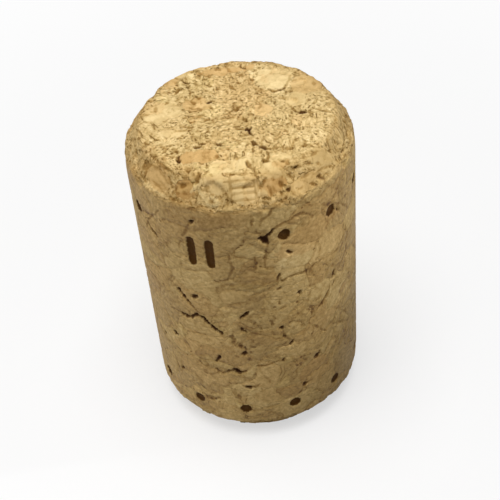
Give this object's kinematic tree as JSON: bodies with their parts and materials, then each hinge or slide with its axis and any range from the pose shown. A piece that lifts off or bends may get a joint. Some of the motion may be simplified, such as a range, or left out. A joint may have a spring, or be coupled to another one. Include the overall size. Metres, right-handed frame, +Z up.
{
  "type": "cork stopper",
  "caption": "Cylindrical agglomerated cork stopper with chamfered crumbly ends, burnt dot rings near both ends and a plain bar mark.",
  "frame": {"origin": "centre of the lower end face", "axes": "+Z up along the stopper's axis, -Y towards the side that carries the bar mark and the front slits"},
  "size_m": [0.024, 0.024, 0.038],
  "materials": {
    "cork": "matt agglomerated cork: ground smooth on the wall, rough and crumbly on the ends and chamfers"
  },
  "bodies": {
    "root": {"stopper": "cork"}
  },
  "joints": []
}
